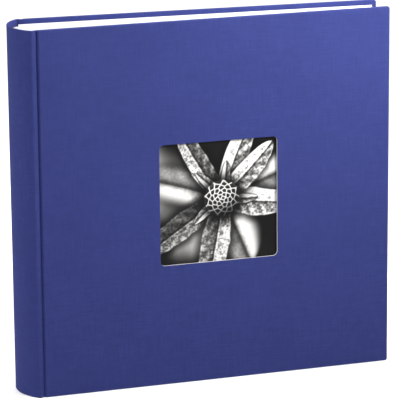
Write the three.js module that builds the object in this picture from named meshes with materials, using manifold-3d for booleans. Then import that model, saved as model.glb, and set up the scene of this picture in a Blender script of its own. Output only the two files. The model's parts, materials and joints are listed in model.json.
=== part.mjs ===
// A square, cloth-covered, book-bound photo album, standing upright with its spine on the left.
// Units are millimetres. +X runs from the spine to the fore-edge, +Y from the front cover to the
// back cover, and +Z up. The origin is the middle of the closed album's footprint, at its foot.
//
// The case is two greyboards and a curved card inlay, all covered in book cloth, with a French
// groove on each side of the rounded spine. A square window cut through the front board shows a
// picture that sits in a rebate behind it. The text block is bound stubs with scored leaves. The
// block is thicker at the spine than at the fore-edge, so the two covers lean towards each other.

import * as THREE from "three";
import { mergeVertices } from "three/addons/utils/BufferGeometryUtils.js";
import Module from "manifold-3d";

const wasm = await Module();
wasm.setup();

// Driving dimensions
const COVER_WIDTH = 294; // from the groove to the fore-edge
const COVER_HEIGHT = 300;
const CORNER_RADIUS = 2; // of the covers' two corners at the fore-edge
const SPINE_THICKNESS = 55; // over the covers, at the grooves
const FORE_EDGE_THICKNESS = 36; // over the covers, at the fore-edge
const SPINE_BULGE = 13; // how far the round of the spine stands out from its shoulders
const GROOVE_WIDTH = 6;
const GROOVE_DEPTH = 2.2;
const CLOTH = 0.35;
const BOARD = 2.6;
const INLAY = 0.8; // card that stiffens the spine
const TURN_IN = 15; // cloth folded round the boards' edges
const PASTEDOWN = 0.2;
const GLUE = 0.1; // the glue line between layers of the case
const PASTEDOWN_INSET = 4;

const WINDOW = 100;
const WINDOW_RADIUS = 4;
const REBATE = 108; // square pocket behind the window
const REBATE_RADIUS = 3;
const PICTURE = 0.3;
const BACKING = 0.5;
const PICTURE_PLAY = 0.5; // room around the picture and its backing card in the pocket

const SQUARE = 5.5; // how far the covers stand past the leaves at head and tail
const FORE_SQUARE = 4;
const LEAF_PAIRS = 26; // each is two card leaves with their glassine sheets, on one guard
const LEAF_PAIR = 0.72;
const FLYLEAF = 0.3;
const LEAF_CLEARANCE = 0.3;
const STUB_SECTIONS = 5;
const STUB_WIDTH = 15; // from the spine's shoulder line to the score that the leaves bend at
const SCORE_GAP = 1; // from the end of the stubs to the score
const BEND_LENGTH = 7; // the part of a leaf that bends, from the score to where it stays flat

const GAUZE = 0.3;
const LINER = 0.3;
const HOLLOW = 0.8; // air between the liner and the case's spine

const COLOURS = {
  cloth: { color: 0x3c4488, roughness: 0.85, metalness: 0 },
  board: { color: 0x9a948a, roughness: 0.95, metalness: 0 },
  paper: { color: 0xf2f0ea, roughness: 0.9, metalness: 0 },
  kraft: { color: 0xb08a5e, roughness: 0.9, metalness: 0 },
  gauze: { color: 0xe6e2d6, roughness: 0.95, metalness: 0 },
  picture: { color: 0x7d7d7f, roughness: 0.35, metalness: 0 },
};

// Derived places
const HALF_SPINE = SPINE_THICKNESS / 2;
const COVER_LEAN = Math.asin((SPINE_THICKNESS - FORE_EDGE_THICKNESS) / 2 / COVER_WIDTH);
const WIDTH = COVER_WIDTH * Math.cos(COVER_LEAN) + GROOVE_WIDTH + SPINE_BULGE;
const SPINE_X = -WIDTH / 2;
const FORE_X = WIDTH / 2;
const SHOULDER_X = SPINE_X + SPINE_BULGE;
const COVER_X = SHOULDER_X + GROOVE_WIDTH;
const SPINE_RADIUS = (HALF_SPINE ** 2 + SPINE_BULGE ** 2) / (2 * SPINE_BULGE);
const SPINE_CENTRE_X = SPINE_X + SPINE_RADIUS;

// The layers of a cover, counted inwards from its outer face
const BOARD_OUT = CLOTH + GLUE;
const BOARD_IN = BOARD_OUT + BOARD;
const TURN_IN_OUT = BOARD_IN + GLUE;
const TURN_IN_IN = TURN_IN_OUT + CLOTH;
const PASTEDOWN_OUT = TURN_IN_IN + GLUE;
const COVER_THICKNESS = PASTEDOWN_OUT + PASTEDOWN;
const REBATE_DEPTH = PICTURE + BACKING + 2 * GLUE;

// The leaves turn about scores in a row across the block
const BLOCK_BOTTOM = SQUARE;
const BLOCK_HEIGHT = COVER_HEIGHT - 2 * SQUARE;
const SCORE_X = SHOULDER_X + STUB_WIDTH;
const STUB_END_X = SCORE_X - SCORE_GAP;
const LEAF_END_X = FORE_X - FORE_SQUARE;
const LEAF_LENGTH = LEAF_END_X - SCORE_X;

// Half of the room between the covers at x.
function halfRoom(x) {
  const innerFace = COVER_THICKNESS / Math.cos(COVER_LEAN);
  return HALF_SPINE - (x - COVER_X) * Math.tan(COVER_LEAN) - innerFace;
}

// Where a flyleaf's middle lies at x, and how far apart the leaves' middles then are.
const flyleafY = (x) => halfRoom(x) - LEAF_CLEARANCE - FLYLEAF / 2;
const outerLeaf = (LEAF_PAIRS - 1) / 2;
const leafPitch = (x) => (flyleafY(x) - FLYLEAF / 2 - LEAF_CLEARANCE - LEAF_PAIR / 2) / outerLeaf;

const album = new THREE.Group();

function material(kind) {
  return new THREE.MeshStandardMaterial(COLOURS[kind]);
}

function addMesh(parent, name, geometry, kind) {
  const mesh = new THREE.Mesh(geometry, material(kind));
  mesh.name = name;
  parent.add(mesh);
  return mesh;
}

// Booleans
function toSolid(geometry) {
  const bare = geometry.clone();
  bare.deleteAttribute("normal");
  bare.deleteAttribute("uv");
  const merged = mergeVertices(bare, 1e-4);
  return new wasm.Manifold(
    new wasm.Mesh({
      numProp: 3,
      vertProperties: merged.attributes.position.array,
      triVerts: new Uint32Array(merged.index.array),
    }),
  );
}

function toGeometry(solid) {
  const mesh = solid.getMesh();
  const geometry = new THREE.BufferGeometry();
  geometry.setAttribute("position", new THREE.BufferAttribute(mesh.vertProperties, 3));
  geometry.setIndex(new THREE.BufferAttribute(mesh.triVerts, 1));
  geometry.computeVertexNormals();
  return geometry;
}

function cut(base, ...tools) {
  return toGeometry(tools.reduce((left, tool) => left.subtract(toSolid(tool)), toSolid(base)));
}

// A box given by its lowest and highest corners.
function block([x0, y0, z0], [x1, y1, z1]) {
  return new THREE.BoxGeometry(x1 - x0, y1 - y0, z1 - z0).translate(
    (x0 + x1) / 2,
    (y0 + y1) / 2,
    (z0 + z1) / 2,
  );
}

// A closed outline in X and Y, drawn up from z0 to z1.
function upright(outline, z0, z1) {
  const geometry = new THREE.ExtrudeGeometry(outline, {
    depth: z1 - z0,
    bevelEnabled: false,
    curveSegments: 20,
  });
  return geometry.translate(0, 0, z0);
}

// A plate with its face in X and Z, from y0 to y1, and its two corners at the fore-edge rounded.
function plate([x0, y0, z0], [x1, y1, z1], radius) {
  const outline = new THREE.Shape();
  outline.moveTo(x0, z1);
  outline.lineTo(x0, z0);
  outline.absarc(x1 - radius, z0 + radius, radius, -Math.PI / 2, 0);
  outline.absarc(x1 - radius, z1 - radius, radius, 0, Math.PI / 2);
  outline.closePath();
  const geometry = new THREE.ExtrudeGeometry(outline, {
    depth: y1 - y0,
    bevelEnabled: false,
    curveSegments: 6,
  });
  geometry.rotateX(Math.PI / 2);
  return geometry.translate(0, y1, 0);
}

// A square prism with round corners, its face in X and Z, running from y0 to y1.
function squarePrism(side, radius, centreX, y0, y1) {
  const half = side / 2;
  const inner = half - radius;
  const outline = new THREE.Shape();
  outline.absarc(inner, inner, radius, 0, Math.PI / 2);
  outline.absarc(-inner, inner, radius, Math.PI / 2, Math.PI);
  outline.absarc(-inner, -inner, radius, Math.PI, 1.5 * Math.PI);
  outline.absarc(inner, -inner, radius, 1.5 * Math.PI, 2 * Math.PI);
  const geometry = new THREE.ExtrudeGeometry(outline, {
    depth: y1 - y0,
    bevelEnabled: false,
    curveSegments: 6,
  });
  geometry.rotateX(Math.PI / 2);
  return geometry.translate(centreX, y1, COVER_HEIGHT / 2);
}

// A cover lies in its own frame: x from the groove to the fore-edge, y inwards from the outer face.
function coverCloth() {
  const edge = CLOTH + GLUE;
  const whole = plate([0, 0, 0], [COVER_WIDTH, TURN_IN_IN, COVER_HEIGHT], CORNER_RADIUS);
  const boardRoom = plate(
    [-1, CLOTH, CLOTH],
    [COVER_WIDTH - CLOTH, TURN_IN_OUT, COVER_HEIGHT - CLOTH],
    CORNER_RADIUS - CLOTH,
  );
  const inside = block(
    [-1, BOARD_IN, edge + TURN_IN],
    [COVER_WIDTH - edge - TURN_IN, TURN_IN_IN + 1, COVER_HEIGHT - edge - TURN_IN],
  );
  return { whole, cavities: [boardRoom, inside] };
}

function coverBoard() {
  const edge = CLOTH + GLUE;
  return plate(
    [GLUE, BOARD_OUT, edge],
    [COVER_WIDTH - edge, BOARD_IN, COVER_HEIGHT - edge],
    CORNER_RADIUS - edge,
  );
}

function pastedown() {
  return block(
    [PASTEDOWN_INSET, PASTEDOWN_OUT, PASTEDOWN_INSET],
    [COVER_WIDTH - PASTEDOWN_INSET, COVER_THICKNESS, COVER_HEIGHT - PASTEDOWN_INSET],
  );
}

function addFrontCover() {
  const cover = new THREE.Group();
  cover.position.set(COVER_X, -HALF_SPINE, 0);
  cover.rotation.z = COVER_LEAN;
  const middle = COVER_WIDTH / 2;
  const rebateFloor = BOARD_IN - REBATE_DEPTH;
  const through = squarePrism(WINDOW, WINDOW_RADIUS, middle, -1, BOARD_IN + 1);
  const rebate = squarePrism(REBATE, REBATE_RADIUS, middle, rebateFloor, BOARD_IN + 1);
  const cloth = coverCloth();
  addMesh(cover, "front_cover_cloth", cut(cloth.whole, ...cloth.cavities, through), "cloth");
  addMesh(cover, "front_board", cut(coverBoard(), through, rebate), "board");

  const cardSide = REBATE - 2 * PICTURE_PLAY;
  const pictureOut = rebateFloor + GLUE;
  const backingOut = pictureOut + PICTURE + GLUE;
  const picture = squarePrism(cardSide, REBATE_RADIUS, middle, pictureOut, pictureOut + PICTURE);
  const backing = squarePrism(cardSide, REBATE_RADIUS, middle, backingOut, backingOut + BACKING);
  addMesh(cover, "window_picture", picture, "picture");
  addMesh(cover, "picture_backing", backing, "board");
  addMesh(cover, "front_pastedown", pastedown(), "paper");
  album.add(cover);
}

function addBackCover() {
  // The same layers as the front, turned over about the X axis so that they face the other way.
  const cover = new THREE.Group();
  cover.position.set(COVER_X, HALF_SPINE, 0);
  cover.rotation.z = -COVER_LEAN;
  const turnedOver = (geometry) => geometry.rotateX(Math.PI).translate(0, 0, COVER_HEIGHT);
  const cloth = coverCloth();
  addMesh(cover, "back_cover_cloth", turnedOver(cut(cloth.whole, ...cloth.cavities)), "cloth");
  addMesh(cover, "back_board", turnedOver(coverBoard()), "board");
  addMesh(cover, "back_pastedown", turnedOver(pastedown()), "paper");
  album.add(cover);
}

// A curved band of the spine between two radii, cut off square at the shoulders.
function spineBand(outer, inner, endX) {
  const reach = SPINE_CENTRE_X - endX;
  const outerAngle = Math.acos(reach / outer);
  const innerAngle = Math.acos(reach / inner);
  const outline = new THREE.Shape();
  outline.absarc(SPINE_CENTRE_X, 0, outer, Math.PI - outerAngle, Math.PI + outerAngle, false);
  outline.absarc(SPINE_CENTRE_X, 0, inner, Math.PI + innerAngle, Math.PI - innerAngle, true);
  return outline;
}

const CASE_SPINE_INNER = SPINE_RADIUS - 2 * CLOTH - INLAY - 2 * GLUE;
const LINER_OUTER = CASE_SPINE_INNER - HOLLOW;
const GAUZE_OUTER = LINER_OUTER - LINER - GLUE;
const BLOCK_RADIUS = GAUZE_OUTER - GAUZE - GLUE;

function addCaseSpine() {
  const clothInner = SPINE_RADIUS - CLOTH;
  const inlayOuter = clothInner - GLUE;
  const inlayInner = inlayOuter - INLAY;
  const turnInOuter = inlayInner - GLUE;
  const edge = CLOTH + GLUE;
  const pastEnd = SHOULDER_X + 1;

  const whole = upright(spineBand(SPINE_RADIUS, CASE_SPINE_INNER, SHOULDER_X), 0, COVER_HEIGHT);
  const inlayRoom = upright(
    spineBand(clothInner, turnInOuter, pastEnd),
    CLOTH,
    COVER_HEIGHT - CLOTH,
  );
  const inside = upright(
    spineBand(inlayInner, CASE_SPINE_INNER - 1, pastEnd),
    edge + TURN_IN,
    COVER_HEIGHT - edge - TURN_IN,
  );
  addMesh(album, "spine_cloth", cut(whole, inlayRoom, inside), "cloth");

  const inlay = upright(spineBand(inlayOuter, inlayInner, SHOULDER_X), edge, COVER_HEIGHT - edge);
  addMesh(album, "spine_inlay", inlay, "board");
}

// The cloth of a groove dips in a smooth curve between the shoulder and the cover's edge.
function addJointCloth(name, side) {
  const x0 = SHOULDER_X + LEAF_CLEARANCE;
  const x1 = COVER_X - LEAF_CLEARANCE;
  const steps = 12;
  const dip = (share) => (GROOVE_DEPTH * (1 - Math.cos(2 * Math.PI * share))) / 2;
  const at = (share, depth) =>
    new THREE.Vector2(x0 + share * (x1 - x0), side * (HALF_SPINE - dip(share) - depth));
  const shares = Array.from({ length: steps + 1 }, (_, i) => i / steps);
  const outer = shares.map((share) => at(share, 0));
  const inner = shares.map((share) => at(share, CLOTH)).reverse();
  const outline = new THREE.Shape([...outer, ...inner]);
  const edge = CLOTH + GLUE;
  addMesh(album, name, upright(outline, edge, COVER_HEIGHT - edge), "cloth");
}

// The stubs are glued into sections whose backs follow the round of the spine.
function addStubSections() {
  const half = flyleafY(SCORE_X);
  const height = (2 * half) / STUB_SECTIONS;
  const gap = LEAF_CLEARANCE / 2;
  for (let i = 0; i < STUB_SECTIONS; i++) {
    const y0 = -half + i * height + gap;
    const y1 = y0 + height - 2 * gap;
    const angle0 = Math.PI - Math.asin(y0 / BLOCK_RADIUS);
    const angle1 = Math.PI - Math.asin(y1 / BLOCK_RADIUS);
    const outline = new THREE.Shape();
    outline.moveTo(STUB_END_X, y1);
    outline.absarc(SPINE_CENTRE_X, 0, BLOCK_RADIUS, angle1, angle0, false);
    outline.lineTo(STUB_END_X, y0);
    outline.closePath();
    const geometry = upright(outline, BLOCK_BOTTOM, BLOCK_BOTTOM + BLOCK_HEIGHT);
    addMesh(album, `stub_section_${i + 1}`, geometry, "paper");
  }
}

function addSpineLinings() {
  const top = BLOCK_BOTTOM + BLOCK_HEIGHT;
  const gauze = spineBand(GAUZE_OUTER, GAUZE_OUTER - GAUZE, SHOULDER_X);
  const liner = spineBand(LINER_OUTER, LINER_OUTER - LINER, SHOULDER_X);
  addMesh(album, "spine_gauze", upright(gauze, BLOCK_BOTTOM + TURN_IN, top - TURN_IN), "gauze");
  addMesh(album, "spine_liner", upright(liner, BLOCK_BOTTOM, top), "kraft");
}

// A leaf is flat from the end of its bend to the fore-edge, and slopes with the wedge of the block.
function addLeaf(name, thickness, scoreY, foreY) {
  const leaf = new THREE.Group();
  leaf.position.set(SCORE_X, scoreY, 0);
  leaf.rotation.z = Math.atan2(foreY - scoreY, LEAF_LENGTH);
  const top = BLOCK_BOTTOM + BLOCK_HEIGHT;
  const flat = block([BEND_LENGTH, -thickness / 2, BLOCK_BOTTOM], [LEAF_LENGTH, thickness / 2, top]);
  addMesh(leaf, name, flat, "paper");
  album.add(leaf);
}

function addLeaves() {
  for (let i = 0; i < LEAF_PAIRS; i++) {
    const place = i - outerLeaf;
    const name = `leaf_pair_${String(i + 1).padStart(2, "0")}`;
    addLeaf(name, LEAF_PAIR, place * leafPitch(SCORE_X), place * leafPitch(LEAF_END_X));
  }
  addLeaf("front_flyleaf", FLYLEAF, -flyleafY(SCORE_X), -flyleafY(LEAF_END_X));
  addLeaf("back_flyleaf", FLYLEAF, flyleafY(SCORE_X), flyleafY(LEAF_END_X));
}

addFrontCover();
addBackCover();
addCaseSpine();
addJointCloth("front_joint_cloth", -1);
addJointCloth("back_joint_cloth", 1);
addStubSections();
addSpineLinings();
addLeaves();

export default album;
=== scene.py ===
import json
import math

import bmesh
import bpy
import numpy as np
from mathutils import Matrix, Vector


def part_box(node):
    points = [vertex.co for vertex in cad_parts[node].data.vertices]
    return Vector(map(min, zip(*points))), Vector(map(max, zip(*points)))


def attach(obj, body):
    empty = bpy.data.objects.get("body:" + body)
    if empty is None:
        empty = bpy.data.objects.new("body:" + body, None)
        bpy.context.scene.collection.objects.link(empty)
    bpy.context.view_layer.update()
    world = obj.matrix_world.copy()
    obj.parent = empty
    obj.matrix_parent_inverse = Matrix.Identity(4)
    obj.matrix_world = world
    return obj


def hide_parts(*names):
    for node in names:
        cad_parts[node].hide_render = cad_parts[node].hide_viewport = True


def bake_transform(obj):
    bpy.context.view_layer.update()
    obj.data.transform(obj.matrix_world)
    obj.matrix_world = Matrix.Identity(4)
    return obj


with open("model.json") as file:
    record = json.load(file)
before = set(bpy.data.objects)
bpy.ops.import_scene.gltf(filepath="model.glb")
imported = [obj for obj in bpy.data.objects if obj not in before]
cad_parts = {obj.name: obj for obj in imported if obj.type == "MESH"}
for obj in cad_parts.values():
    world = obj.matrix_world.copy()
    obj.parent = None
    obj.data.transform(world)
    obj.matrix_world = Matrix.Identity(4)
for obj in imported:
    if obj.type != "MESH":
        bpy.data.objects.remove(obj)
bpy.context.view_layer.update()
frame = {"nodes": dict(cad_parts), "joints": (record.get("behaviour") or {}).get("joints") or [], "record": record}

# Sizes of the case, in metres
COVER_WIDTH = 0.294
CORNER_RADIUS = 0.002
CLOTH = 0.00035
COVER_THICKNESS = 0.0035  # board with cloth on both faces
SPINE_THICKNESS = 0.0017  # card inlay with cloth on both faces
TURN_IN = 0.0155  # how far the cloth reaches in behind a cover's edge
TURN_IN_POINTS = (0.003, 0.0045, 0.009, TURN_IN)  # how far in it has points
RIM_RADIUS = 0.0008  # how round the covered edges are
RIDGE_RADIUS = 0.0025  # the spine's shoulder
BOARD_EDGE_RADIUS = 0.00065  # the board's edge beside the groove
BOARD_EDGE_X = -0.0004  # where the cloth goes round it
BOARD_FACE_X = BOARD_EDGE_X + BOARD_EDGE_RADIUS  # where its flat face begins
GROOVE_DEPTH = 0.0018
INTO_GROOVE = math.radians(42)  # how steeply the cloth leaves the shoulder
OUT_OF_GROOVE = math.radians(-50)  # and climbs to the board
JOINT_SLACK = 0.00025  # how much the turned-in cloth bellies inwards behind the groove
WINDOW = 0.100
WINDOW_RADIUS = 0.004
WINDOW_RIM = 0.00025  # how round the cloth's edge is at the window
PICTURE_DEPTH = 0.00215  # from the cover's face to the print
PICTURE_THICKNESS = 0.0003
FACE_SWELL = 0.00006  # how far a cover's face is out of true
PASTEDOWN_INSET = 0.004

CREASE = math.radians(40)  # edges sharper than this are shaded as creases

# Sizes of the block, in metres
BACK_GAP = 0.0033  # between the spine's outer face and the block's rounded back
PAIR_THICKNESS = 0.00072  # of the solid that stands for two leaves
CARD = 0.00036
GLASSINE = 0.00005
FLYLEAF = 0.0003
PASTEDOWN = 0.0002
BEND_LENGTH = 0.007  # how far past its score a sheet's bend reaches
GUARD_END = 0.001  # the guards stop this far before the score
PAIRS = 26
PAGE_WAVE = 0.00022
PAGE_STRAY = 0.0002  # how far a leaf's edges are out of line with the others
GLASSINE_INSET = 0.003

INK_WHITE = 0.62  # how much light the print's whitest parts send back

# Places that the frame gives
record = frame["record"]
joints = {joint["name"]: joint for joint in frame["joints"]}
spine_low, spine_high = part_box("spine_cloth")
block_low, block_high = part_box("leaf_pair_13")
HEIGHT = spine_high.z
HALF_DEPTH = spine_high.y
SPINE_X = spine_low.x
SHOULDER_X = spine_high.x
HINGE = Vector(joints["front_cover_hinge"]["pos_m"])
COVER_X = 2 * HINGE.x - SHOULDER_X
front_axis = next(m for m in record["mounts"] if m["name"] == "front_face")["axis"]
LEAN = math.atan2(front_axis[0], -front_axis[1])
BULGE = SHOULDER_X - SPINE_X
SPINE_RADIUS = (HALF_DEPTH**2 + BULGE**2) / (2 * BULGE)
SPINE_CENTRE_X = SPINE_X + SPINE_RADIUS
BLOCK_RADIUS = SPINE_RADIUS - BACK_GAP
SCORE_X = joints["leaf_pair_01_score"]["pos_m"][0]
BLOCK_BOTTOM = block_low.z
BLOCK_TOP = block_high.z
LEAF_END_X = block_high.x
MIDDLE = COVER_WIDTH / 2


# Meshes


def grid_faces(rows, cols, first, closed=False):
    """The quads of a grid of points, by number, the first point being number first."""
    index = first + np.arange(rows * cols).reshape(rows, cols)
    if closed:
        index = np.hstack([index, index[:, :1]])
    corners = [index[:-1, :-1], index[1:, :-1], index[1:, 1:], index[:-1, 1:]]
    return np.stack(corners, axis=-1).reshape(-1, 4)


class Surface:
    """Grids of points that are joined where they meet. Each point has its place in the weave and how much it is
    lightened, by wear and by a painted highlight.
    """

    def __init__(self):
        self.points, self.faces, self.weave, self.wear_and_highlight = [], [], [], []
        self.slots = []
        self.count = 0

    def add(self, points, weave=None, wear_and_highlight=0.0, closed=False, slot=0):
        points = np.asarray(points, float)
        rows, cols = points.shape[:2]
        self.points.append(points.reshape(-1, 3))
        weave = points[..., [0, 2]] if weave is None else np.broadcast_to(weave, (rows, cols, 2))
        self.weave.append(weave.reshape(-1, 2))
        self.wear_and_highlight.append(np.broadcast_to(wear_and_highlight, (rows, cols)).reshape(-1))
        faces = grid_faces(rows, cols, self.count, closed).tolist()
        self.faces += faces
        self.slots += [slot] * len(faces)
        first = self.count
        self.count += rows * cols
        return first

    def add_face(self, numbers, slot=0):
        self.faces.append(list(numbers))
        self.slots.append(slot)

    def mesh(self, name, outward=None, merge=1e-6):
        mesh = bpy.data.meshes.new(name)
        mesh.from_pydata(np.concatenate(self.points).tolist(), [], self.faces)
        weave = mesh.attributes.new("weave", "FLOAT_VECTOR", "POINT")
        flat = np.concatenate(self.weave)
        weave.data.foreach_set("vector", np.c_[flat, np.zeros(len(flat))].astype(np.float32).ravel())
        wear_and_highlight = mesh.attributes.new("wear_and_highlight", "FLOAT", "POINT")
        wear_and_highlight.data.foreach_set("value", np.concatenate(self.wear_and_highlight).astype(np.float32))
        mesh.polygons.foreach_set("material_index", self.slots)
        shape = bmesh.new()
        shape.from_mesh(mesh)
        if merge:
            bmesh.ops.remove_doubles(shape, verts=shape.verts, dist=merge)
        bmesh.ops.recalc_face_normals(shape, faces=shape.faces)
        if outward is not None:
            side = Vector(outward)
            furthest = max(shape.faces, key=lambda f: f.calc_center_median().dot(side))
            if furthest.normal.dot(side) < 0:
                bmesh.ops.reverse_faces(shape, faces=shape.faces)
        for edge in shape.edges:
            edge.smooth = not edge.is_boundary and edge.calc_face_angle(0) < CREASE
        shape.to_mesh(mesh)
        shape.free()
        mesh.shade_smooth()
        return mesh


def new_object(name, mesh, *materials):
    """A mesh as an object of the scene, with its materials."""
    piece = bpy.data.objects.new(name, mesh)
    bpy.context.scene.collection.objects.link(piece)
    for material in materials:
        mesh.materials.append(material)
    return piece


def on_cover(x, y, z):
    """Places on the front cover in the album's frame, from x past the groove and y in from its outer face."""
    x, y, z = np.broadcast_arrays(np.asarray(x, float), y, z)
    cos, sin = math.cos(LEAN), math.sin(LEAN)
    return np.stack([COVER_X + x * cos - y * sin, -HALF_DEPTH + x * sin + y * cos, z], axis=-1)


def mirrored(points):
    """The same shape on the back cover's side."""
    return points * np.array([1.0, -1.0, 1.0])


def lengths_along(points):
    """How far along a line of points each of them lies."""
    steps = np.linalg.norm(np.diff(points, axis=0), axis=-1)
    return np.concatenate([[0.0], np.cumsum(steps)])


def edge_dense(length, near=0.014, near_step=0.002, step=0.008):
    """Shares of a length from 0 to 1, closer together near both of its ends."""
    ends = np.arange(0, near + near_step / 2, near_step)
    steps = max(2, round((length - 2 * near) / step))
    middle = np.linspace(near, length - near, steps + 1)[1:-1]
    return np.concatenate([ends, middle, length - ends[::-1]]) / length


# The cloth of the case


def round_corner(centre, radius, start, end, count):
    """Points round a corner, with its centre on the left and its direction turning from start to end."""
    turn = np.linspace(start, end, count + 1)
    return np.asarray(centre) + radius * np.stack([np.sin(turn), -np.cos(turn)], axis=-1)


def smooth_link(start, start_angle, end, end_angle, count):
    """A curve between two points that leaves and arrives in the given directions."""
    start, end = np.asarray(start), np.asarray(end)
    reach = np.linalg.norm(end - start)
    leave = reach * np.array([math.cos(start_angle), math.sin(start_angle)])
    arrive = reach * np.array([math.cos(end_angle), math.sin(end_angle)])
    t = np.linspace(0, 1, count + 1)[:, None]
    return (
        (2 * t**3 - 3 * t**2 + 1) * start
        + (t**3 - 2 * t**2 + t) * leave
        + (3 * t**2 - 2 * t**3) * end
        + (t**3 - t**2) * arrive
    )


SPINE_STEPS = 30
RIDGE_STEPS = 9
EDGE_STEPS = 6


def case_plan():
    """The cloth's outer and inner faces seen from above, from the spine's middle to the board, and the
    length along them."""
    ridge_y = HALF_DEPTH - RIDGE_RADIUS
    ridge_angle = math.asin(ridge_y / (SPINE_RADIUS - RIDGE_RADIUS))
    ridge_x = SPINE_CENTRE_X - (SPINE_RADIUS - RIDGE_RADIUS) * math.cos(ridge_angle)

    sweep = np.linspace(0, ridge_angle, SPINE_STEPS + 1)
    around = np.stack([-np.cos(sweep), -np.sin(sweep)], axis=-1)
    spine = np.array([SPINE_CENTRE_X, 0]) + SPINE_RADIUS * around
    off_spine = ridge_angle - math.pi / 2
    ridge = round_corner((ridge_x, -ridge_y), RIDGE_RADIUS, off_spine, INTO_GROOVE, RIDGE_STEPS)
    edge_centre = BOARD_FACE_X, BOARD_EDGE_RADIUS
    edge = round_corner(edge_centre, BOARD_EDGE_RADIUS, OUT_OF_GROOVE, 0, EDGE_STEPS)
    edge = on_cover(edge[:, 0], edge[:, 1], 0)[:, :2]
    floor = np.array([(ridge[-1, 0] + edge[0, 0]) / 2, GROOVE_DEPTH - HALF_DEPTH])
    down = smooth_link(ridge[-1], INTO_GROOVE, floor, 0, EDGE_STEPS)
    up = smooth_link(floor, 0, edge[0], OUT_OF_GROOVE + LEAN, EDGE_STEPS)
    outer = np.concatenate([spine, ridge[1:], down[1:], up[1:], edge[1:]])

    along = lengths_along(outer)
    joint_start = along[len(spine) - 1]
    share = np.clip((along - joint_start) / (along[-1] - joint_start), 0, 1)[:, None]
    spine_inner = np.array([SPINE_CENTRE_X, 0]) + (SPINE_RADIUS - SPINE_THICKNESS) * around
    board_inner = on_cover(BOARD_FACE_X, COVER_THICKNESS, 0)[:2]
    inner = spine_inner[-1] * (1 - share) + board_inner * share
    inner[:, 1] += JOINT_SLACK * np.sin(math.pi * share[:, 0])
    inner[: len(spine)] = spine_inner
    return outer, inner, along


def rim(thickness):
    """The cloth's way over a covered edge and in behind it, for each thickness of what it covers: its depth,
    how far in from the edge it lies, and its length."""
    thickness = np.atleast_1d(thickness)[:, None]
    radius = np.minimum(RIM_RADIUS, thickness / 2)
    turn = np.linspace(0, math.pi / 2, 5)
    over = radius * (1 - np.cos(turn)), radius * (1 - np.sin(turn))
    back = thickness - radius + radius * np.sin(turn), radius * (1 - np.cos(turn))
    inside = np.array(TURN_IN_POINTS)
    depth = np.hstack([over[0], back[0], np.repeat(thickness, len(inside), axis=1)])
    inset = np.hstack([over[1], back[1], np.repeat(inside[None], len(thickness), axis=0)])
    steps = np.hypot(np.diff(depth, axis=1), np.diff(inset, axis=1))
    length = np.hstack([np.zeros_like(thickness), np.cumsum(steps, axis=1)])
    return depth, inset, length


# How much each of the rim's points is lightened, by rubbed wear and a painted highlight, most at the outermost
# edge
RIM_WEAR_AND_HIGHLIGHT = np.array([0.35, 0.6, 0.9, 1.0, 1.0, 1.0, 0.8, 0.5, 0.3, 0.1, 0, 0, 0, 0])
LINE_WEAR_AND_HIGHLIGHT = 0.45  # rubbed wear and painted highlight along the spine's shoulder and the board's edge
RIDGE_WEAR_AND_HIGHLIGHT_WIDTH = 0.0013
BOARD_WEAR_AND_HIGHLIGHT_WIDTH = 0.0006
PANEL_HEIGHTS = edge_dense(HEIGHT - 2 * RIM_RADIUS)  # shares of the height between head and tail


def add_spine_and_groove(cloth, plan):
    """The half of the spine, and the groove, with the cloth turned in at head and tail."""
    outer, inner, along = plan
    way = inner - outer
    thickness = np.linalg.norm(way, axis=1)
    way /= thickness[:, None]
    depth, inset, length = rim(thickness)
    radius = inset[:, :1]
    upright = radius + PANEL_HEIGHTS * (HEIGHT - 2 * radius)
    flat = np.zeros_like(upright)
    depths = np.hstack([depth[:, :0:-1], flat, depth[:, 1:]])
    heights = np.hstack([inset[:, :0:-1], upright, HEIGHT - inset[:, 1:]])
    lifts = np.hstack([radius - length[:, :0:-1], upright, HEIGHT - radius + length[:, 1:]])
    places = outer[:, None] + way[:, None] * depths[..., None]
    points = np.concatenate([places, heights[..., None]], axis=-1)
    weave = np.stack([np.repeat(along[:, None], heights.shape[1], axis=1), lifts], axis=-1)
    # Lighter at head and tail and in lines along the spine's shoulder and the board's edge: rubbed wear with a
    # painted highlight
    edge_wear_and_highlight = np.concatenate([RIM_WEAR_AND_HIGHLIGHT[:0:-1], np.zeros(len(PANEL_HEIGHTS)), RIM_WEAR_AND_HIGHLIGHT[1:]])
    ridge = along[SPINE_STEPS + (RIDGE_STEPS - 1) // 2]
    ridge_wear_and_highlight = LINE_WEAR_AND_HIGHLIGHT * np.exp(-(((along - ridge) / RIDGE_WEAR_AND_HIGHLIGHT_WIDTH) ** 2))
    board_edge = along[-1 - EDGE_STEPS // 2]
    board_wear_and_highlight = LINE_WEAR_AND_HIGHLIGHT * np.exp(-(((along - board_edge) / BOARD_WEAR_AND_HIGHLIGHT_WIDTH) ** 2))
    wear_and_highlight = np.maximum(edge_wear_and_highlight[None], (ridge_wear_and_highlight + board_wear_and_highlight)[:, None])
    cloth.add(points, weave, wear_and_highlight)


def square_edge(direction, half, radius):
    """Where rays from the middle of a square with round corners leave it."""
    direction = direction / np.abs(direction).max(axis=-1, keepdims=True)
    point = direction * half
    corner = np.sign(direction) * (half - radius)
    in_corner = np.abs(point).min(axis=-1) > half - radius
    a = (direction**2).sum(-1)
    b = (direction * corner).sum(-1)
    c = (corner**2).sum(-1) - radius**2
    reach = (b + np.sqrt(np.maximum(b**2 - a * c, 0))) / a
    return np.where(in_corner[..., None], direction * reach[..., None], point)


def warp(x, z):
    """How a board's face swells and dips a little, from -1 to 1."""
    return (
        np.sin(21 * x + 9 * z + 1.0) * 0.4
        + np.sin(37 * z - 17 * x + 2.1) * 0.3
        + np.sin(71 * x + 53 * z) * 0.2
        + np.sin(97 * z - 61 * x + 0.7) * 0.1
    )


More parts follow.
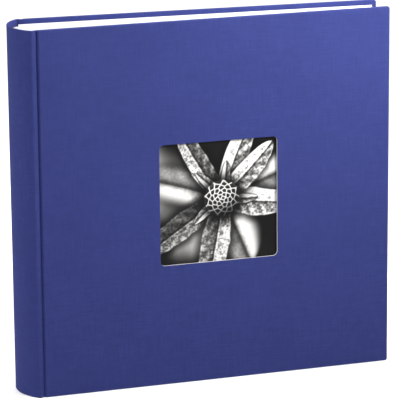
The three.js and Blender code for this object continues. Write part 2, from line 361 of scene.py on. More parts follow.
def board_outline(inset, start_x):
    """A line at a distance in from a cover's free edges: head, corner, fore-edge, corner and tail. Gives the
    points and which way is outwards at each."""
    along_head = edge_dense(COVER_WIDTH - CORNER_RADIUS - start_x)
    along_fore = edge_dense(HEIGHT - 2 * CORNER_RADIUS)
    corner_in = max(CORNER_RADIUS, inset)
    radius = max(CORNER_RADIUS - inset, 0.0)
    far_x, low, high = COVER_WIDTH - corner_in, corner_in, HEIGHT - corner_in
    turn = np.linspace(math.pi / 2, 0, 7)[1:-1]
    round_out = np.stack([np.cos(turn), np.sin(turn)], axis=-1)
    head_x = start_x + along_head * (far_x - start_x)
    head = np.stack([head_x, np.full(len(head_x), HEIGHT - inset)], axis=-1)
    fore_z = high + along_fore * (low - high)
    fore = np.stack([np.full(len(fore_z), COVER_WIDTH - inset), fore_z], axis=-1)
    down = np.array([1.0, -1.0])
    points = [
        head,
        np.array([far_x, high]) + radius * round_out,
        fore,
        np.array([far_x, low]) + radius * round_out[::-1] * down,
        np.stack([head[::-1, 0], np.full(len(head), inset)], axis=-1),
    ]
    ways = [
        np.tile([0.0, 1.0], (len(head), 1)),
        round_out,
        np.tile([1.0, 0.0], (len(fore), 1)),
        round_out[::-1] * down,
        np.tile([0.0, -1.0], (len(head), 1)),
    ]
    return np.concatenate(points), np.concatenate(ways)


# Where the rings of a cover's face lie, from its opening to its edges
FACE_RINGS = np.concatenate([[0, 0.01, 0.03, 0.07, 0.13], np.linspace(0.2, 0.9, 9), [0.95, 0.98, 1]])


def add_board_face(cloth, reach, opening, opening_radius, rim_height):
    """The flat face between a square opening and the covered edges. reach is the cloth's length from the
    spine's middle to where the face starts."""
    start_x = BOARD_FACE_X
    edge, _ = board_outline(RIM_RADIUS, start_x)
    side_heights = RIM_RADIUS + PANEL_HEIGHTS[1:-1] * (HEIGHT - 2 * RIM_RADIUS)
    side = np.stack([np.full(len(side_heights), start_x), side_heights], axis=-1)
    outside = np.concatenate([edge, side])
    centre = np.array([MIDDLE, HEIGHT / 2])
    ways = outside - centre
    inside = centre + square_edge(ways, opening / 2 + rim_height, opening_radius + rim_height)
    flat = inside + FACE_RINGS[:, None, None] * (outside - inside)
    swell = FACE_SWELL * np.sin(math.pi * FACE_RINGS) ** 0.5
    depth = swell[:, None] * warp(flat[..., 0], flat[..., 1])
    weave = np.stack([reach + flat[..., 0] - start_x, flat[..., 1]], axis=-1)
    wear_and_highlight = np.zeros(flat.shape[:2])
    # The face's outermost ring is lightened like the rim: rubbed wear and painted highlight
    wear_and_highlight[-1] = RIM_WEAR_AND_HIGHLIGHT[0]
    first = cloth.add(on_cover(flat[..., 0], depth, flat[..., 1]), weave, wear_and_highlight, closed=True)
    return first, ways, centre


def add_window_rim(cloth, reach, ways, centre):
    """The cloth's cut edge round the window, pressed a little into the board."""
    turn = np.linspace(0, math.pi / 2, 4)
    insets = np.append(WINDOW_RIM * (1 - np.sin(turn)), 0)
    depths = np.append(WINDOW_RIM * (1 - np.cos(turn)), CLOTH + 0.00004)
    rings = np.stack([square_edge(ways, WINDOW / 2 + inset, WINDOW_RADIUS + inset) for inset in insets])
    rings = rings + centre
    weave = np.stack([reach + rings[..., 0] - BOARD_FACE_X, rings[..., 1]], axis=-1)
    # The window's cut edge is lightened by half: rubbed wear and painted highlight
    cloth.add(on_cover(rings[..., 0], depths[:, None], rings[..., 1]), weave, 0.5, closed=True)


def add_board_edges(cloth, reach):
    """The cloth over a cover's three free edges and turned in behind them."""
    start_x = BOARD_FACE_X
    depth, inset, length = (values[0] for values in rim(COVER_THICKNESS))
    edge, ways = board_outline(RIM_RADIUS, start_x)
    columns = []
    for point_depth, point_inset in zip(depth, inset):
        flat, _ = board_outline(point_inset, start_x)
        columns.append(on_cover(flat[:, 0], point_depth, flat[:, 1]))
    points = np.stack(columns, axis=1)
    weave = edge[:, None] + ways[:, None] * length[:, None]
    weave = weave + np.array([reach - start_x, 0])
    # Lightened more at the corners: rubbed wear and painted highlight
    at_corner = np.exp(-(((np.abs(ways).min(axis=1) - 0.7) / 0.5) ** 2))
    wear_and_highlight = RIM_WEAR_AND_HIGHLIGHT[None] * (1 + 0.8 * at_corner[:, None])
    cloth.add(points, weave, wear_and_highlight)


def case_cloth(name, material, back=False):
    """Half of the case's cloth: from the middle of the spine over the groove and the whole of one cover."""
    plan = case_plan()
    reach = plan[2][-1]
    cloth = Surface()
    add_spine_and_groove(cloth, plan)
    add_board_edges(cloth, reach)
    if back:
        middle_face = 0.012  # one flat face in place of the window
        first, ways, _ = add_board_face(cloth, reach, middle_face, middle_face / 4, 0)
        cloth.add_face(range(first, first + len(ways)))
        cloth.points = [mirrored(points) for points in cloth.points]
    else:
        _, ways, centre = add_board_face(cloth, reach, WINDOW, WINDOW_RADIUS, WINDOW_RIM)
        add_window_rim(cloth, reach, ways, centre)
    mesh = cloth.mesh(name, outward=(0, 1 if back else -1, 0))
    piece = new_object(name, mesh, material)
    thick = piece.modifiers.new("thickness", "SOLIDIFY")
    thick.thickness = CLOTH
    thick.offset = -1
    thick.use_quality_normals = True
    word = "back" if back else "front"
    body = f"{word}_cover"
    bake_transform(piece)
    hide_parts(f"{body}_cloth", f"{word}_joint_cloth", "spine_cloth")


# The block


def page_wave(x, y, z):
    """How far the block's sheets lie out of true together, least beside the covers."""
    free = np.clip((x - SCORE_X) / (LEAF_END_X - SCORE_X), 0, 1)
    still_beyond = 0.017
    depth = np.clip(1 - (y / still_beyond) ** 2, 0, 1)
    return PAGE_WAVE * free**1.5 * depth * (np.sin(23 * z + 0.6) + 0.5 * np.sin(61 * z + 40 * y))


def add_between(surface, front, back, slot=0):
    """Two grids of points as the faces of a thin closed sheet."""
    surface.add(front, slot=slot)
    surface.add(back, slot=slot)
    for edge in (np.s_[0, :], np.s_[-1, :], np.s_[:, 0], np.s_[:, -1]):
        surface.add(np.stack([front[edge], back[edge]]), slot=slot)


def add_sheet(surface, xs, heights, thickness, middle, slot=0):
    """A thin closed sheet. middle gives its middle's y from x."""
    x, z = np.meshgrid(xs, heights, indexing="ij")
    y = middle(x) + page_wave(x, middle(x), z)
    front, back = [np.stack([x, y + side * thickness, z], axis=-1) for side in (-0.5, 0.5)]
    add_between(surface, front, back, slot)


def rounded_back(y):
    """Where the block's back lies, that far from its middle."""
    return SPINE_CENTRE_X - math.sqrt(BLOCK_RADIUS**2 - y**2)


def leaf_slope():
    """How much a leaf's y shrinks towards the fore-edge, for each metre of x and of y at its score."""
    low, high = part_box("leaf_pair_01")
    at_score = abs(joints["leaf_pair_01_score"]["pos_m"][1])
    return (high.y - low.y - PAIR_THICKNESS) / (high.x - low.x) / at_score


SLOPE = leaf_slope()
LAST_SCORE = joints[f"leaf_pair_{PAIRS}_score"]["pos_m"][1]
SCORE_PITCH = joints["leaf_pair_02_score"]["pos_m"][1] - joints["leaf_pair_01_score"]["pos_m"][1]


def sheet_line(at_score):
    """A sheet's middle: straight along the guards, and sloping with the block's wedge beyond its score."""
    return lambda x: at_score * (1 - SLOPE * np.maximum(x - SCORE_X, 0))


def sheet_steps(start, end):
    """Places along a sheet, closest together where it bends."""
    guard = np.linspace(start, SCORE_X, 3)[:-1]
    bend = np.linspace(SCORE_X, SCORE_X + BEND_LENGTH, 8)[:-1]
    return np.concatenate([guard, bend, np.linspace(SCORE_X + BEND_LENGTH, end, 9)])


def bend_at_score(piece):
    """Bakes a sheet's placing into its points."""
    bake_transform(piece)


def leaf_pair(number, card, glassine):
    """Two card leaves with a glassine sheet beside each."""
    name = f"leaf_pair_{number:02d}"
    middle = joints[f"{name}_score"]["pos_m"][1]
    pages = Surface()
    for k, side in enumerate((-1, 1)):
        at_score = middle + side * SCORE_PITCH / 4
        stray = PAGE_STRAY * math.sin(7.3 * number + 2.9 * k)
        heights = np.linspace(BLOCK_BOTTOM + abs(stray), BLOCK_TOP - abs(stray) / 2, 9)
        xs = sheet_steps(rounded_back(at_score), LEAF_END_X + stray - PAGE_STRAY)
        add_sheet(pages, xs, heights, CARD, sheet_line(at_score))
        between = at_score + SCORE_PITCH / 4
        heights = np.linspace(BLOCK_BOTTOM + GLASSINE_INSET, BLOCK_TOP - GLASSINE_INSET, 9)
        xs = sheet_steps(SCORE_X - GUARD_END / 2, LEAF_END_X - GLASSINE_INSET)
        add_sheet(pages, xs, heights, GLASSINE, sheet_line(between), slot=1)
    piece = new_object(f"{name}_sheets", pages.mesh(f"{name}_sheets"), card, glassine)
    bend_at_score(piece)
    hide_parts(name)


def guards(material):
    """The strips between the leaves at the spine, cut to the rounded back."""
    strips = Surface()
    pitch = SCORE_PITCH / 2
    clearance = 0.00002
    thickness = pitch - CARD - clearance
    outermost = LAST_SCORE + pitch
    heights = np.linspace(BLOCK_BOTTOM + PAGE_STRAY, BLOCK_TOP - PAGE_STRAY, 3)
    for at in np.arange(-outermost, outermost + pitch / 2, pitch):
        xs = np.array([rounded_back(at), (SHOULDER_X + SCORE_X) / 2, SCORE_X - GUARD_END])
        add_sheet(strips, xs, heights, thickness, lambda x: np.full_like(x, at))
    piece = new_object("guards", strips.mesh("guards"), material)
    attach(piece, "spine")
    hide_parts(*[f"stub_section_{n}" for n in range(1, 6)])


def flyleaf(side, material):
    """The endpaper's free half, beside the block."""
    name = "front_flyleaf" if side < 0 else "back_flyleaf"
    at_score = joints[f"{name}_score"]["pos_m"][1]
    low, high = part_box(name)
    slope = (high.y - low.y - FLYLEAF) / (high.x - low.x)

    def middle(x):
        return at_score - side * slope * np.maximum(x - SCORE_X, 0)

    sheet = Surface()
    xs = sheet_steps(rounded_back(at_score), LEAF_END_X)
    add_sheet(sheet, xs, np.linspace(BLOCK_BOTTOM, BLOCK_TOP, 9), FLYLEAF, middle)
    piece = new_object(f"{name}_sheet", sheet.mesh(f"{name}_sheet"), material)
    bend_at_score(piece)
    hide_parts(name)


def pastedown(side, material):
    """The endpaper's glued half, with its gutter that crosses the groove to the block."""
    glue = 0.0001
    near, far = 0.003, COVER_WIDTH - PASTEDOWN_INSET
    depth = COVER_THICKNESS + glue + PASTEDOWN / 2
    flat = on_cover(np.linspace(near, far, 14), depth, 0)[:, :2]
    block_side = np.array([SHOULDER_X + 0.001, -HALF_DEPTH + 0.0041])  # where the gutter meets the block
    gutter = smooth_link(block_side, 0, flat[0], LEAN, 10)
    line = np.concatenate([gutter[:-1], flat])
    away = np.gradient(line, axis=0)
    away = np.stack([-away[:, 1], away[:, 0]], axis=-1) / np.linalg.norm(away, axis=1)[:, None]
    heights = np.linspace(PASTEDOWN_INSET, HEIGHT - PASTEDOWN_INSET, 7)
    sheet = Surface()
    sides = []
    for offset in (-PASTEDOWN / 2, PASTEDOWN / 2):
        plan = np.repeat((line + offset * away)[:, None], len(heights), axis=1)
        tall = np.broadcast_to(heights, plan.shape[:2])[..., None]
        points = np.concatenate([plan, tall], axis=-1)
        sides.append(mirrored(points) if side > 0 else points)
    outer, inner = sides
    add_between(sheet, outer, inner)
    word = "front" if side < 0 else "back"
    piece = new_object(f"{word}_pastedown_sheet", sheet.mesh(f"{word}_pastedown_sheet"), material)
    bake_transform(piece)
    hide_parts(f"{word}_pastedown")


# The picture behind the window: a round scaly bud with leaves spreading from it, in black and white

GOLDEN_ANGLE = 137.5  # between one leaf or scale and the next, in degrees


def smooth_step(low, high, value):
    """From 0 at low to 1 at high, level at both."""
    t = np.clip((value - low) / (high - low), 0, 1)
    return t * t * (3 - 2 * t)


def lattice_noise(a, b, seed):
    """Smooth uneven values from 0 to 1, about one bump for each unit of a and b."""
    grid = np.random.default_rng(seed).random((64, 64))
    col, row = np.floor(a).astype(int), np.floor(b).astype(int)
    u, v = smooth_step(0, 1, a - col), smooth_step(0, 1, b - row)
    low = grid[row % 64, col % 64] * (1 - u) + grid[row % 64, (col + 1) % 64] * u
    high = grid[(row + 1) % 64, col % 64] * (1 - u) + grid[(row + 1) % 64, (col + 1) % 64] * u
    return low * (1 - v) + high * v


def rough_noise(a, b, seed):
    """Lattice noise in four sizes, each half as strong as the last."""
    layers = [lattice_noise(a * 2**k, b * 2**k, seed + k) / 2**k for k in range(4)]
    return sum(layers) / sum(1 / 2**k for k in range(4))


def blurred_ground(a, b):
    """Foliage far out of focus: soft pale patches on near-black."""
    cloud = lattice_noise(1.5 * a + 7, 1.5 * b + 3, 21)
    return 0.04 + 0.80 * smooth_step(0.42, 0.85, cloud) + 0.05 * lattice_noise(5 * a, 5 * b, 22)


def paint_leaf(tone, a, b, turn, length, width, lightness, bend, blur, seed):
    """Lays one leaf over the tones. Its halves slope from a dark midrib, and the sharp leaves are downy."""
    u = (a * math.cos(turn) + b * math.sin(turn)) / length
    v = b * math.cos(turn) - a * math.sin(turn) - bend * length * u * u
    along = np.clip(u, 0.0, 1.0)
    half = width * 1.75 * along**0.55 * (1 - along) ** 0.55 + 0.02 * (1 - along)
    half = half * (1 + 0.10 * (lattice_noise(14 * along + seed, np.sign(v) + 5, seed) - 0.5) * (1 - blur))
    across = v / np.maximum(half, 1e-4)
    soft = 0.05 + 0.45 * blur
    cover = smooth_step(1 + soft, 1 - soft, np.abs(across)) * smooth_step(0, 0.04, u)
    cover = cover * smooth_step(1.0 + soft * 0.3, 1.0 - soft * 0.3, u)
    side = 0.85 + 0.25 * np.tanh(9 * across)
    lit = side * (0.55 + 0.6 * np.abs(across) * (1 - 0.55 * np.abs(across)))
    veins = np.sin(40 * along - 7 * np.abs(across) ** 0.8)
    lit = lit + 0.12 * veins * (1 - blur)
    down = smooth_step(0.3, 0.7, rough_noise(34 * a + seed, 34 * b, seed)) - 0.45
    lit = lit * (1 + 0.75 * down * (1 - blur))
    rib = np.exp(-((v / (0.018 + 0.03 * blur)) ** 2))
    lit = lit * (1 - 0.6 * rib) + 0.5 * np.exp(-(((v - 0.03) / 0.013) ** 2)) * (1 - blur) * (1 - 0.5 * along)
    lit = lit * (0.35 + 0.65 * smooth_step(0.10, 0.45, along))
    edge = np.exp(-(((np.abs(across) - 0.92) / 0.07) ** 2)) * (1 - blur)
    shadow = smooth_step(1.7, 0.9, np.abs(across)) * (u > 0) * (u < 1.04)
    tone = tone * (1 - 0.7 * shadow * (1 - 0.6 * blur))
    return tone * (1 - cover) + cover * np.clip(lightness * (lit + 0.12 * edge), 0, 1)


def paint_bud(tone, a, b, radius, scales=46):
    """Lays the bud over the tones: dark scales in the spirals of a seed head, each with a pale downy edge."""
    turn = np.arange(scales) * math.radians(GOLDEN_ANGLE)
    out = radius * 1.04 * ((np.arange(scales) + 0.5) / scales) ** 0.6
    far_off = 9.0
    nearest = np.full(a.shape, far_off)
    second = np.full(a.shape, far_off)
    outwards_of = np.zeros_like(a)
    for x, y in zip(out * np.cos(turn), out * np.sin(turn)):
        way = np.array([x, y]) / math.hypot(x, y)
        outwards = (a - x) * way[0] + (b - y) * way[1]
        aside = (b - y) * way[0] - (a - x) * way[1]
        stretch = 1 + 0.45 * math.hypot(x, y) / radius
        far = np.hypot(outwards * stretch, aside)
        closer = far < nearest
        second = np.where(closer, nearest, np.minimum(second, far))
        outwards_of = np.where(closer, outwards, outwards_of)
        nearest = np.where(closer, far, nearest)
    seam = 1 - smooth_step(0.004, 0.030, second - nearest)
    from_centre = np.hypot(a, b)
    dome = np.sqrt(np.clip(1 - (from_centre / (radius * 1.15)) ** 2, 0, 1))
    light = 0.10 + 4.0 * np.clip(outwards_of, 0, 0.05) + 0.85 * seam
    light = light * (0.55 + 0.6 * dome) * (1 + 0.6 * (b - 0.4 * a) / radius)
    light = light * (0.8 + 0.4 * rough_noise(60 * a, 60 * b, 5))
    lobes = radius * (1.05 + 0.035 * np.abs(np.sin(7 * np.arctan2(b, a))))
    cover = smooth_step(lobes + 0.012, lobes - 0.012, from_centre)
    shadow = np.exp(-((np.clip(from_centre - radius, 0, 1) / 0.12) ** 2))
    tone = tone * (1 - 0.8 * shadow)
    return tone * (1 - cover) + cover * np.clip(light, 0, 1)


def botanical_tones(a, b):
    """The picture's tones, from 0 for black to 1 for white. a and b run from -1 to 1."""
    tone = blurred_ground(a, b)
    a, b = a - 0.06, b - 0.04
    leaves, blurred_leaves, young_leaves = 9, 3, 4
    for k in range(leaves):
        back = k < blurred_leaves
        turn = math.radians(GOLDEN_ANGLE * k + 20)
        length = 1.45 + 0.25 * math.sin(2.1 * k)
        width = (0.34 if back else 0.25) + 0.04 * math.sin(3.7 * k + 1)
        lightness = 1.35 if back else 1.05 + 0.45 * math.sin(2.6 * k + 0.6)
        blur = 0.8 if back else 0.0
        tone = paint_leaf(tone, a, b, turn, length, width, lightness, 0.10 * math.sin(1.7 * k), blur, 3 + k)
    for k in range(young_leaves):
        turn = math.radians(GOLDEN_ANGLE * k + 75)
        tone = paint_leaf(tone, a, b, turn, 0.62, 0.085, 1.3, 0.12, 0.15, 31 + k)
    tone = paint_bud(tone, a, b, 0.28)
    return np.clip(tone, 0.03, 1.0)


def window_picture(material, border):
    """The print in the rebate, its tones held at the points of a fine grid."""
    low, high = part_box("window_picture")
    count = 300
    side = high.z - low.z
    across = np.linspace(-side / 2, side / 2, count)
    x, z = np.meshgrid(MIDDLE + across, HEIGHT / 2 + across, indexing="ij")
    card = Surface()
    first = card.add(on_cover(x, PICTURE_DEPTH, z))
    numbers = first + np.arange(count * count).reshape(count, count)
    ring = np.concatenate([numbers[:-1, 0], numbers[-1, :-1], numbers[:0:-1, -1], numbers[0, :0:-1]])
    places = np.concatenate(card.points)[ring - first]
    behind = places + np.array([-math.sin(LEAN), math.cos(LEAN), 0]) * PICTURE_THICKNESS
    back = card.add(np.stack([places, behind]), closed=True)
    card.add_face(range(back + len(ring), back + 2 * len(ring)), slot=1)
    mesh = card.mesh("window_picture_print", merge=1e-7)
    points = np.zeros(len(mesh.vertices) * 3)
    mesh.vertices.foreach_get("co", points)
    points = points.reshape(-1, 3)
    half = WINDOW / 2
    centre_x = on_cover(MIDDLE, PICTURE_DEPTH, 0)[0]
    tones = botanical_tones((points[:, 0] - centre_x) / half, (points[:, 2] - HEIGHT / 2) / half)
    linear = INK_WHITE * tones**2.2
    colours = np.c_[linear, linear, linear, np.ones(len(linear))].astype(np.float32)
    shades = mesh.color_attributes.new("print", "FLOAT_COLOR", "POINT")
    shades.data.foreach_set("color", colours.ravel())
    piece = new_object("window_picture_print", mesh, material, border)
    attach(piece, "front_cover")
    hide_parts("window_picture")


# Materials


class Nodes:
    """A material's node tree, with short ways to add to it."""

    def __init__(self, name):
        self.material = bpy.data.materials.new(name)
        self.material.use_nodes = True
        self.tree = self.material.node_tree
        self.shader = self.tree.nodes["Principled BSDF"]

    def set(self, **values):
        for key, value in values.items():
            self.shader.inputs[key.replace("_", " ")].default_value = value

    def node(self, kind, links=None, **settings):
        node = self.tree.nodes.new(kind)
        for key, value in settings.items():
            setattr(node, key, value)
        for key, value in (links or {}).items():
            self.feed(node.inputs[key], value)
        return node

    def feed(self, socket, value):
        if isinstance(value, bpy.types.NodeSocket):
            self.tree.links.new(value, socket)
        else:
            socket.default_value = value

    def math(self, operation, a, b=0.0, clamp=False):
        node = self.node("ShaderNodeMath", {0: a, 1: b}, operation=operation, use_clamp=clamp)
        return node.outputs[0]

    def noise(self, vector, scale, detail=2.0, roughness=0.5):
        node = self.node("ShaderNodeTexNoise", {"Vector": vector, "Scale": scale, "Detail": detail})
        node.inputs["Roughness"].default_value = roughness
        return node.outputs["Fac"]

    def scaled(self, vector, by):
        node = self.node("ShaderNodeVectorMath", {0: vector, 1: by}, operation="MULTIPLY")
        return node.outputs[0]

    def remap(self, value, low, high, to_low=0.0, to_high=1.0):
        node = self.node("ShaderNodeMapRange", {"Value": value, "From Min": low, "From Max": high})
        node.inputs["To Min"].default_value = to_low
        node.inputs["To Max"].default_value = to_high
        return node.outputs[0]

    def mix(self, factor, a, b):
        node = self.node("ShaderNodeMix", data_type="RGBA")
        for number, value in ((0, factor), (6, a), (7, b)):
            self.feed(node.inputs[number], value)
        return node.outputs[2]

    def bump(self, height, distance, strength=1.0, normal=None):
        node = self.node("ShaderNodeBump", {"Height": height, "Distance": distance, "Strength": strength})
        if normal is not None:
            self.feed(node.inputs["Normal"], normal)
        return node.outputs[0]


def shade(code):
    """A colour written as in a style sheet, in the shader's linear numbers."""
    values = [int(code[k : k + 2], 16) / 255 for k in (0, 2, 4)]
    return (*[((v + 0.055) / 1.055) ** 2.4 if v > 0.04045 else v / 12.92 for v in values], 1.0)


def book_cloth():
    """Dyed linen: a plain weave of uneven threads, matt, with painted shade in the weave's hollows, and paler
    where it is rubbed and where a highlight is painted on edges, ridges and corners.
    """
    n = Nodes("book_cloth")
    weave = n.node("ShaderNodeAttribute", attribute_name="weave").outputs["Vector"]
    wear_and_highlight = n.node("ShaderNodeAttribute", attribute_name="wear_and_highlight").outputs["Fac"]
    threads_per_metre = 2100
    split = n.node("ShaderNodeSeparateXYZ", {0: n.scaled(weave, (threads_per_metre * math.pi,) * 3)})
    warp_round = n.math("ABSOLUTE", n.math("SINE", split.outputs[0]))
    weft_round = n.math("ABSOLUTE", n.math("SINE", split.outputs[1]))
    over = n.node(
        "ShaderNodeTexChecker", {"Vector": n.scaled(weave, (threads_per_metre,) * 3), "Scale": 1.0}
    ).outputs["Fac"]
    warp_slub = n.noise(n.scaled(weave, (threads_per_metre * 0.9, 45, 1)), 1.0, 2)
    weft_slub = n.noise(n.scaled(weave, (45, threads_per_metre * 0.9, 1)), 1.0, 2)
    warp_height = n.math("MULTIPLY", warp_round, n.math("ADD", warp_slub, 0.4))
    weft_height = n.math("MULTIPLY", weft_round, n.math("ADD", weft_slub, 0.4))
    up = n.math("MULTIPLY", warp_height, over)
    down = n.math("MULTIPLY", weft_height, n.math("SUBTRACT", 1.0, over))
    height = n.math("ADD", up, down)

    slubs = n.math("MULTIPLY", n.math("ADD", warp_slub, weft_slub), 0.5)
    clouds = n.noise(weave, 22, 4, 0.6)
    fine_clouds = n.noise(weave, 140, 3, 0.6)
    tone = n.mix(n.remap(slubs, 0.34, 0.66), shade("252c5f"), shade("2e356c"))
    tone = n.mix(n.remap(clouds, 0.35, 0.7, 0, 0.25), tone, shade("202655"))
    tone = n.mix(n.remap(fine_clouds, 0.45, 0.75, 0, 0.25), tone, shade("323a75"))
    # Painted shade: the weave's hollows, where the threads lie low, are darkened
    tone = n.mix(n.remap(height, 0.0, 0.35, 0.35, 0.0), tone, shade("171c46"))
    # Paler where the wear attribute is high: rubbed wear and a painted highlight
    rubbed_and_highlit = n.math("MULTIPLY", wear_and_highlight, n.remap(fine_clouds, 0.3, 0.7, 0.15, 0.55), clamp=True)
    tone = n.mix(rubbed_and_highlit, tone, shade("353b6e"))
    n.feed(n.shader.inputs["Base Color"], tone)
    n.set(Roughness=0.85, Specular_IOR_Level=0.1, Sheen_Weight=0.05, Sheen_Roughness=0.5)
    n.set(Sheen_Tint=(0.35, 0.4, 1.0, 1.0))
    soft = n.bump(n.noise(weave, 60, 3), 0.0004, 0.25)
    n.feed(n.shader.inputs["Normal"], n.bump(height, 0.00012, 0.7, soft))
    return n.material


def paper(name, colour, shadow):
    """Uncoated paper or card: faint fibres and clouding."""
    fibre_scale = 900
    n = Nodes(name)
    place = n.node("ShaderNodeTexCoord").outputs["Object"]
    clouds = n.noise(place, 35, 4, 0.6)
    fibres = n.noise(n.scaled(place, (fibre_scale, fibre_scale, fibre_scale * 0.35)), 1.0, 3, 0.7)
    tone = n.mix(n.remap(clouds, 0.4, 0.75, 0, 0.25), shade(colour), shade(shadow))
    tone = n.mix(n.remap(fibres, 0.55, 0.8, 0, 0.30), tone, shade(shadow))
    n.feed(n.shader.inputs["Base Color"], tone)
    n.set(Roughness=0.85, Specular_IOR_Level=0.25)
    n.feed(n.shader.inputs["Normal"], n.bump(fibres, 0.00002, 0.6))
    return n.material


def greyboard():
    """Pressed grey board: flecks, and layers that show where it is cut."""
    n = Nodes("greyboard")
    place = n.node("ShaderNodeTexCoord").outputs["Object"]
    flecks = n.noise(place, 1600, 3, 0.7)
    layers = n.noise(n.scaled(place, (90, 2600, 90)), 1.0, 2)
    tone = n.mix(n.remap(flecks, 0.35, 0.7), shade("a4a1a3"), shade("c8c5c7"))
    tone = n.mix(n.remap(layers, 0.5, 0.75, 0, 0.4), tone, shade("8a8789"))
    n.feed(n.shader.inputs["Base Color"], tone)
    n.set(Roughness=0.95, Specular_IOR_Level=0.15)
    n.feed(n.shader.inputs["Normal"], n.bump(flecks, 0.00008, 0.8))
    return n.material


def glassine():
    """Thin, smooth, cloudy interleaving paper."""
    n = Nodes("glassine")
    place = n.node("ShaderNodeTexCoord").outputs["Object"]
    clouds = n.noise(place, 120, 4, 0.65)
    n.feed(n.shader.inputs["Base Color"], n.mix(clouds, shade("e9e9e4"), shade("f6f6f3")))
    n.set(Roughness=0.35, Alpha=0.55, Specular_IOR_Level=0.45)
    n.feed(n.shader.inputs["Normal"], n.bump(clouds, 0.0001, 0.3))
    return n.material


def gauze():
    """Open starched weave, stiff with glue."""
    n = Nodes("mull_gauze")
    place = n.node("ShaderNodeTexCoord").outputs["Object"]
    split = n.node("ShaderNodeSeparateXYZ", {0: n.scaled(place, (2600,) * 3)})
    lines = n.math("MULTIPLY", n.math("SINE", split.outputs[1]), n.math("SINE", split.outputs[2]))
    tone = n.mix(n.remap(lines, -1, 1), shade("cfcabb"), shade("f0ece0"))
    n.feed(n.shader.inputs["Base Color"], tone)
    n.set(Roughness=0.9, Specular_IOR_Level=0.2)
    n.feed(n.shader.inputs["Normal"], n.bump(lines, 0.0001, 0.6))
    return n.material


def print_surface():
    """A satin photographic print, its tones held by the points, with a faint grain."""
    n = Nodes("picture_print")
    tones = n.node("ShaderNodeAttribute", attribute_name="print").outputs["Color"]
    place = n.node("ShaderNodeTexCoord").outputs["Object"]
    grain = n.noise(place, 2400, 2, 0.7)
    dark = n.node("ShaderNodeMix", data_type="RGBA", blend_type="MULTIPLY")
    n.feed(dark.inputs[0], n.remap(grain, 0.4, 0.7, 0.0, 0.5))
    n.feed(dark.inputs[6], tones)
    n.feed(dark.inputs[7], shade("a0a0a2"))
    n.feed(n.shader.inputs["Base Color"], dark.outputs[2])
    n.set(Roughness=0.42, Specular_IOR_Level=0.2)
    n.feed(n.shader.inputs["Normal"], n.bump(n.noise(place, 40, 2), 0.0003, 0.1))
    return n.material


def floor_material():
    """Matt white, with hardly any clouding."""
    n = Nodes("studio_floor")
    place = n.node("ShaderNodeTexCoord").outputs["Object"]
    n.feed(n.shader.inputs["Base Color"], n.mix(n.noise(place, 3), shade("f6f6f6"), shade("fafafa")))
    n.set(Roughness=0.7, Specular_IOR_Level=0.1)
    return n.material


# The studio

WARM_WHITE = (1.0, 0.985, 0.93)
LENS = 249.5
CAMERA_WAY = (-16.17, 14.25)  # its azimuth and elevation from the album, in degrees
CAMERA_DISTANCE = 2.2566
CAMERA_ROLL = -0.52
AIM = Vector((-0.0003, -0.0008, 0.1466))


def studio():
    """A white floor and dome, a key light high on the right, and softer light on the spine and the floor."""
    mesh = bpy.data.meshes.new("floor")
    reach = 14
    corners = [(-reach, -reach, 0), (reach, -reach, 0), (reach, reach, 0), (-reach, reach, 0)]
    mesh.from_pydata(corners, [], [(0, 1, 2, 3)])
    floor = new_object("floor", mesh, floor_material())
    floor.location.z = -0.0001

    bpy.context.scene.world = white_dome(horizon=0.03, zenith=0.95)
    high_corner = Vector((0.20, 0, 0.44))
    key = add_light("key", high_corner, azimuth=38, elevation=21, distance=0.75, size=0.3, power=4.3)
    key.color = WARM_WHITE
    spine = Vector((SPINE_X, 0, 0.22))
    add_light("spine_fill", spine, azimuth=-64, elevation=26, distance=0.8, size=0.4, power=0.9)
    behind = Vector((0, 1.4, 0))
    add_light("overhead", behind, azimuth=0, elevation=90, distance=2.4, size=3.0, power=72, spread=180)


def white_dome(horizon, zenith):
    """A white world, bright overhead and dim near the horizon, as a studio under a large soft box is."""
    world = bpy.data.worlds.new("studio")
    world.use_nodes = True
    tree = world.node_tree
    way = tree.nodes.new("ShaderNodeTexCoord").outputs["Generated"]
    height = tree.nodes.new("ShaderNodeSeparateXYZ")
    squared = tree.nodes.new("ShaderNodeMath")
    squared.operation = "MULTIPLY"
    strength = tree.nodes.new("ShaderNodeMath")
    strength.operation = "MULTIPLY_ADD"
    strength.inputs[1].default_value = zenith
    strength.inputs[2].default_value = horizon
    tree.links.new(way, height.inputs[0])
    tree.links.new(height.outputs["Z"], squared.inputs[0])
    tree.links.new(height.outputs["Z"], squared.inputs[1])
    tree.links.new(squared.outputs[0], strength.inputs[0])
    tree.links.new(strength.outputs[0], tree.nodes["Background"].inputs["Strength"])
    tree.nodes["Background"].inputs["Color"].default_value = (1, 1, 1, 1)
    return world


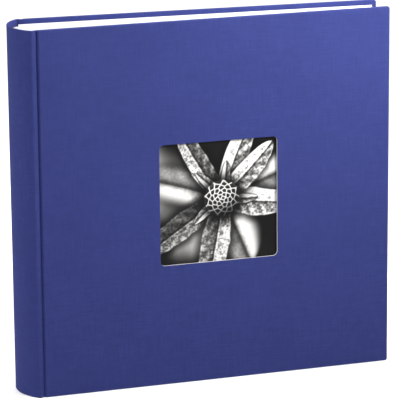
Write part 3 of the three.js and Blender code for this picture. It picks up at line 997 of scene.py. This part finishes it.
def add_light(name, target, azimuth, elevation, distance, size, power, spread=60):
    """A square light that faces its target. Azimuth 0 is in front of the album, and angles are in degrees."""
    light = bpy.data.lights.new(name, "AREA")
    light.energy = power
    light.size = size
    light.spread = math.radians(spread)
    lamp = bpy.data.objects.new(name, light)
    bpy.context.scene.collection.objects.link(lamp)
    back = direction(azimuth, elevation)
    lamp.location = target + back * distance
    lamp.rotation_mode = "QUATERNION"
    lamp.rotation_quaternion = (-back).to_track_quat("-Z", "Y")
    return light


def direction(azimuth, elevation):
    """From the album towards an azimuth and elevation, in degrees."""
    a, e = math.radians(azimuth), math.radians(elevation)
    return Vector((math.sin(a) * math.cos(e), -math.cos(a) * math.cos(e), math.sin(e)))


def camera():
    """A long lens, to the left of the front cover and a little above it."""
    data = bpy.data.cameras.new("camera")
    data.lens = LENS
    data.sensor_width = 36
    data.clip_start, data.clip_end = 0.1, 60
    eye = bpy.data.objects.new("camera", data)
    bpy.context.scene.collection.objects.link(eye)
    back = direction(*CAMERA_WAY)
    turn = (-back).to_track_quat("-Z", "Y").to_matrix().to_4x4()
    roll = Matrix.Rotation(math.radians(CAMERA_ROLL), 4, "Z")
    eye.matrix_world = Matrix.Translation(AIM + back * CAMERA_DISTANCE) @ turn @ roll
    bpy.context.scene.camera = eye


def dress_frame_nodes(materials):
    """Gives the CAD nodes that stay in view their materials."""
    for node, material in materials.items():
        shape = frame["nodes"][node]
        shape.data.materials.clear()
        shape.data.materials.append(material)


camera()
studio()
bpy.context.scene.view_settings.view_transform = "Standard"

cloth = book_cloth()
endpaper = paper("endpaper", "c6c7ca", shadow="babbbf")
card = paper("leaf_card", "bcbfc6", shadow="abaeb6")
guard_card = paper("guard_card", "babcc1", shadow="abadb2")
interleaf = glassine()
board = greyboard()
dress_frame_nodes(
    {
        "front_board": board,
        "back_board": board,
        "spine_inlay": paper("spine_card", "c4b8a4", shadow="a3967f"),
        "picture_backing": paper("backing_card", "dcd8cf", shadow="b9b4a9"),
        "spine_gauze": gauze(),
        "spine_liner": paper("kraft_paper", "b89a72", shadow="94764f"),
    }
)

case_cloth("front_case_cloth", cloth)
case_cloth("back_case_cloth", cloth, back=True)
window_picture(print_surface(), endpaper)
for side in (-1, 1):
    pastedown(side, endpaper)
    flyleaf(side, endpaper)
guards(guard_card)
for number in range(1, PAIRS + 1):
    leaf_pair(number, card, interleaf)
